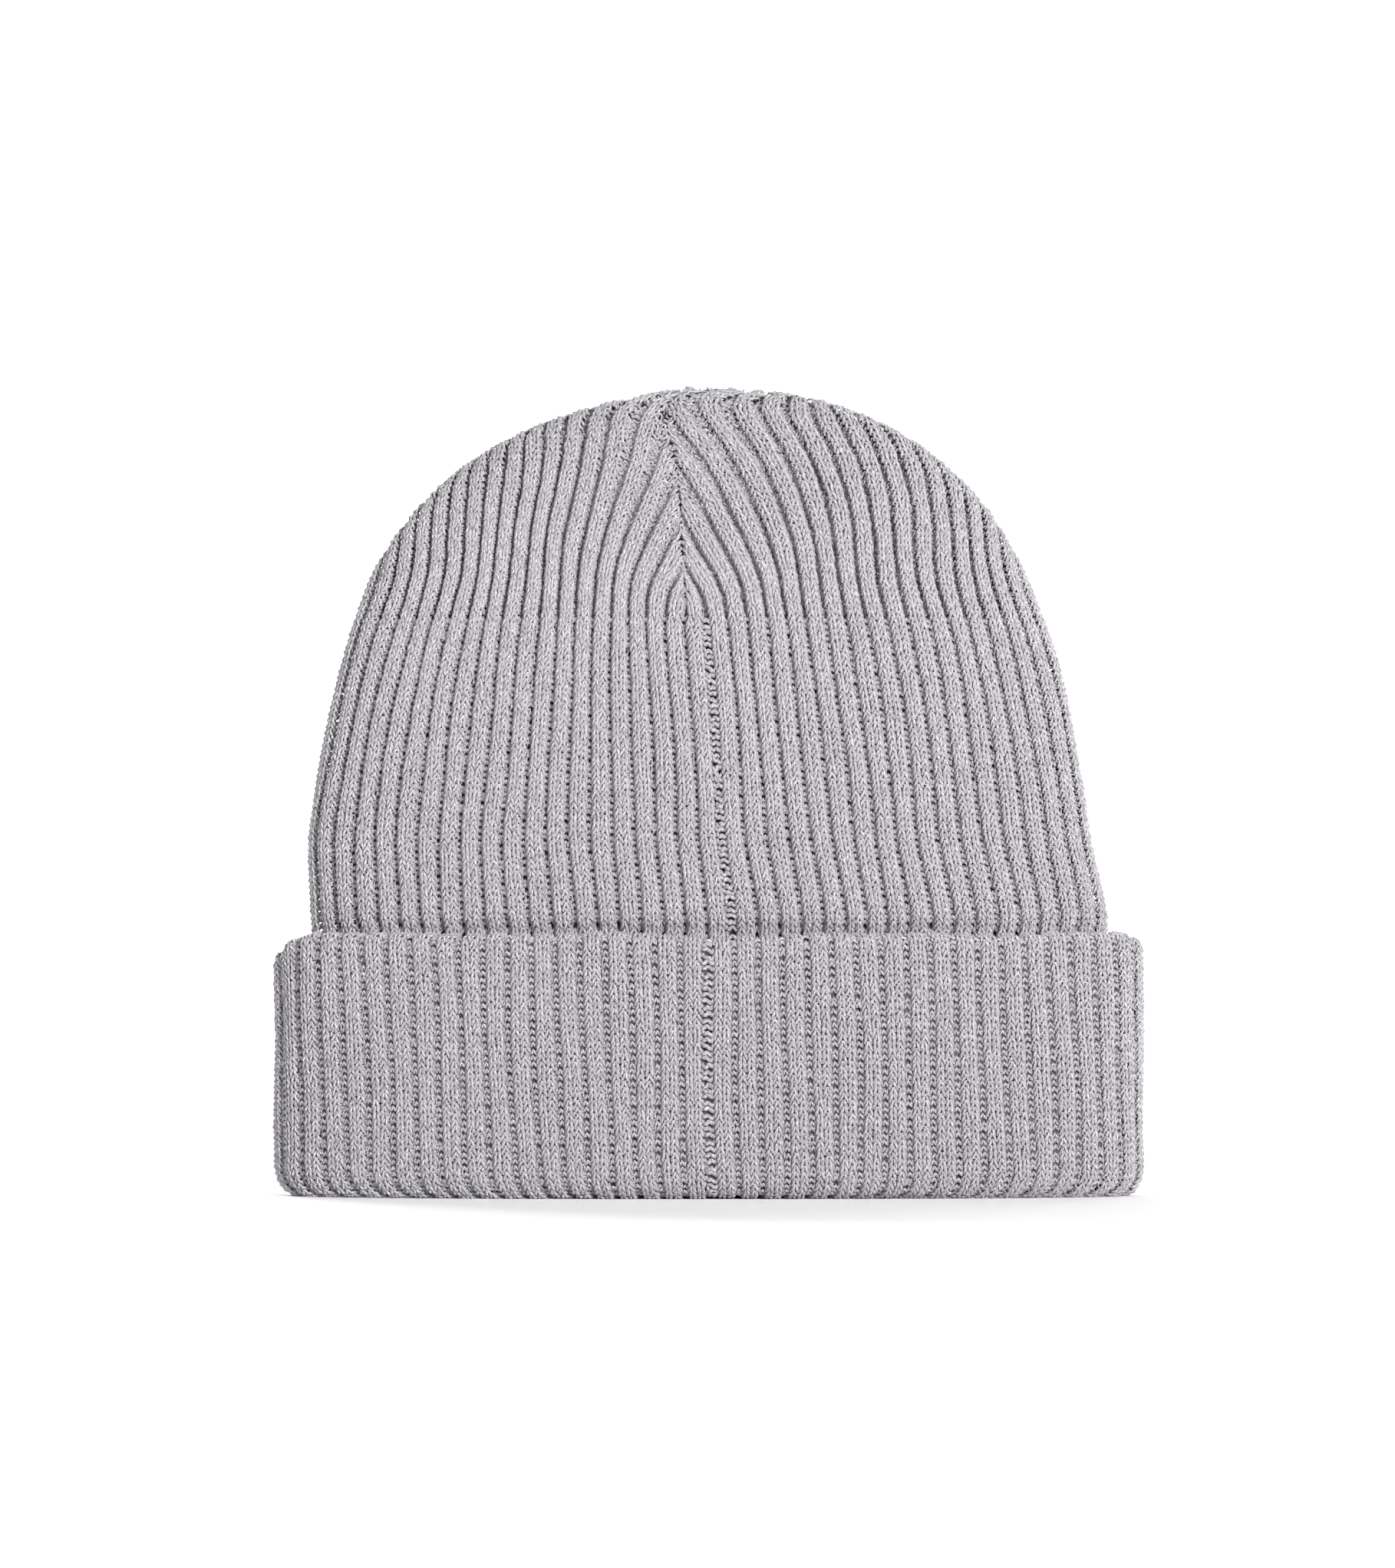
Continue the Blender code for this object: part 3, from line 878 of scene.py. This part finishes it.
def area_light(name, place, target, size, power):
    data = bpy.data.lights.new(name, "AREA")
    data.shape = "RECTANGLE"
    data.size, data.size_y = size
    data.energy = power
    item = bpy.data.objects.new(name, data)
    bpy.context.scene.collection.objects.link(item)
    item.location = place
    direction = Vector(target) - Vector(place)
    item.rotation_euler = direction.to_track_quat("-Z", "Y").to_euler()


def make_lights():
    world = bpy.data.worlds.new("studio")
    bpy.context.scene.world = world
    world.use_nodes = True
    background = world.node_tree.nodes["Background"]
    background.inputs["Color"].default_value = (1, 1, 1, 1)
    background.inputs["Strength"].default_value = 0.14
    area_light("key_light", (1.1, -2.0, 0.7), HAT_MIDDLE, (0.5, 0.5), 84)
    area_light("fill_light", (-1.2, -1.2, 0.6), HAT_MIDDLE, (1.2, 1.2), 8)
    area_light("backdrop_light", (0, 1.5, 2.2), (0, 3.3, 0.4), (2.5, 0.4), 130)
    area_light("far_light", (-1.2, 2.0, 1.0), HAT_MIDDLE, (1.0, 1.0), 45)
    bpy.context.scene.view_settings.view_transform = "Standard"


def make_camera():
    data = bpy.data.cameras.new("camera")
    camera = bpy.data.objects.new("camera", data)
    bpy.context.scene.collection.objects.link(camera)
    data.sensor_width = SENSOR
    data.lens = SENSOR * CAMERA_DISTANCE / VIEW_HEIGHT
    camera.location = (VIEW_MIDDLE[0], -CAMERA_DISTANCE, VIEW_MIDDLE[1])
    camera.rotation_euler = (math.pi / 2, 0, 0)
    bpy.context.scene.camera = camera


def dress(piece, body, *nodes):
    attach(piece, body)
    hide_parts(*nodes)
    return piece


def make_cuff(yarn, cloth):
    surface = cuff_surface(YARN_INSET)
    rows = np.arange(FIRST_COURSE, surface.rows[-1], CUFF_COURSE)
    knits = knit_ring(surface, rows, CUFF_COURSE, 0.0, CUFF_GROOVE, "cuff_knit", yarn, split=8)
    for piece in knits:
        dress(piece, "cuff", "cuff_band", "cuff_seam")
    outer = cuff_surface(CUFF_BACKING_INSET)
    inner = cuff_surface(CUFF_BACKING_INSET + CUFF_BACKING)
    rows = outer.rows[::3]
    # a near-black sheet of painted shade under the cuff's stitches
    piece = cloth_between("cuff_shade_backing", outer, inner, rows, cloth)
    dress(piece, "cuff", "cuff_band")


def make_body(yarn, cloth):
    surface = body_surface(YARN_INSET)
    rows = np.arange(-HIDDEN_BELOW, DART_START, BODY_COURSE)
    knits = knit_ring(surface, rows, BODY_COURSE, BACK_SEAM, BODY_GROOVE, "body_knit", yarn, turned=True)
    low = HEM - CUFF_HEIGHT
    rows = np.arange(low + FIRST_COURSE, -HIDDEN_BELOW - BODY_COURSE / 2, BODY_COURSE)
    knits += knit_ring(surface, rows, BODY_COURSE, BACK_SEAM, BODY_GROOVE, "hem_knit", yarn, sides=3)
    for piece in knits:
        dress(piece, "crown", "body_tube", "back_seam")
    gores = (
        ("back_right", 0.0, 1),
        ("front_right", 0.5, -1),
        ("front_left", 0.5, 1),
        ("back_left", 1.0, -1),
    )
    for name, centre, side in gores:
        piece = knit_gore(surface, centre, side, f"gore_knit_{name}", yarn)
        knits.append(dress(piece, "crown", f"gore_{name}"))
    # a near-black sheet of painted shade under the body's and crown's stitches
    outer, inner = body_surface(BACKING_INSET), body_surface(BACKING_INSET + BODY_BACKING)
    piece = cloth_between("body_shade_backing", outer, inner, dome_rows(outer), cloth)
    seams = ("dart_seam_back", "dart_seam_right", "dart_seam_front", "dart_seam_left")
    dress(piece, "crown", *seams)


def make_lining(cloth):
    outer, inner = body_surface(LINING_FACE), body_surface(LINING_INSET + LINING_KNIT)
    piece = cloth_between("lining_cloth", outer, inner, dome_rows(outer), cloth)
    dress(piece, "crown", "lining")


def make_tack(yarn):
    """A few turns of yarn that gather the tip of the crown."""
    turn = np.linspace(0, TACK_TURNS * 2 * np.pi, TACK_TURNS * 24 + 1)
    reach = TACK_REACH[0] + (TACK_REACH[1] - TACK_REACH[0]) * turn / turn[-1]
    across = np.stack([np.cos(turn), np.sin(turn), np.zeros_like(turn)], axis=-1)
    tip = np.array([APEX_LEAN - BODY_LEAN, 0.0, HAT_HEIGHT - YARN_INSET])
    strands = Strands()
    points = tip + across * reach[:, None] - np.array([0, 0, 1]) * (TACK_SLOPE * reach)[:, None]
    strands.add(points, np.tile([0.0, 0.0, 1.0], (len(turn), 1)), np.full(len(turn), YARN_RADIUS))
    dress(strands.build("crown_tack_yarn", yarn, SIDES), "crown", "crown_tack")


def main():
    make_camera()
    make_lights()
    make_stage()
    yarn = yarn_material("heather_yarn", YARN_DARK, YARN_MIDDLE, YARN_LIGHT)
    # the backing's material is near-black painted shade for the gaps between the stitches
    cloth = cloth_material("painted_shade_backing", PAINTED_SHADE_COLOUR)
    make_cuff(yarn, cloth)
    make_body(yarn, cloth)
    make_lining(cloth_material("lining_cloth", LINING_COLOUR))
    make_tack(yarn)


main()
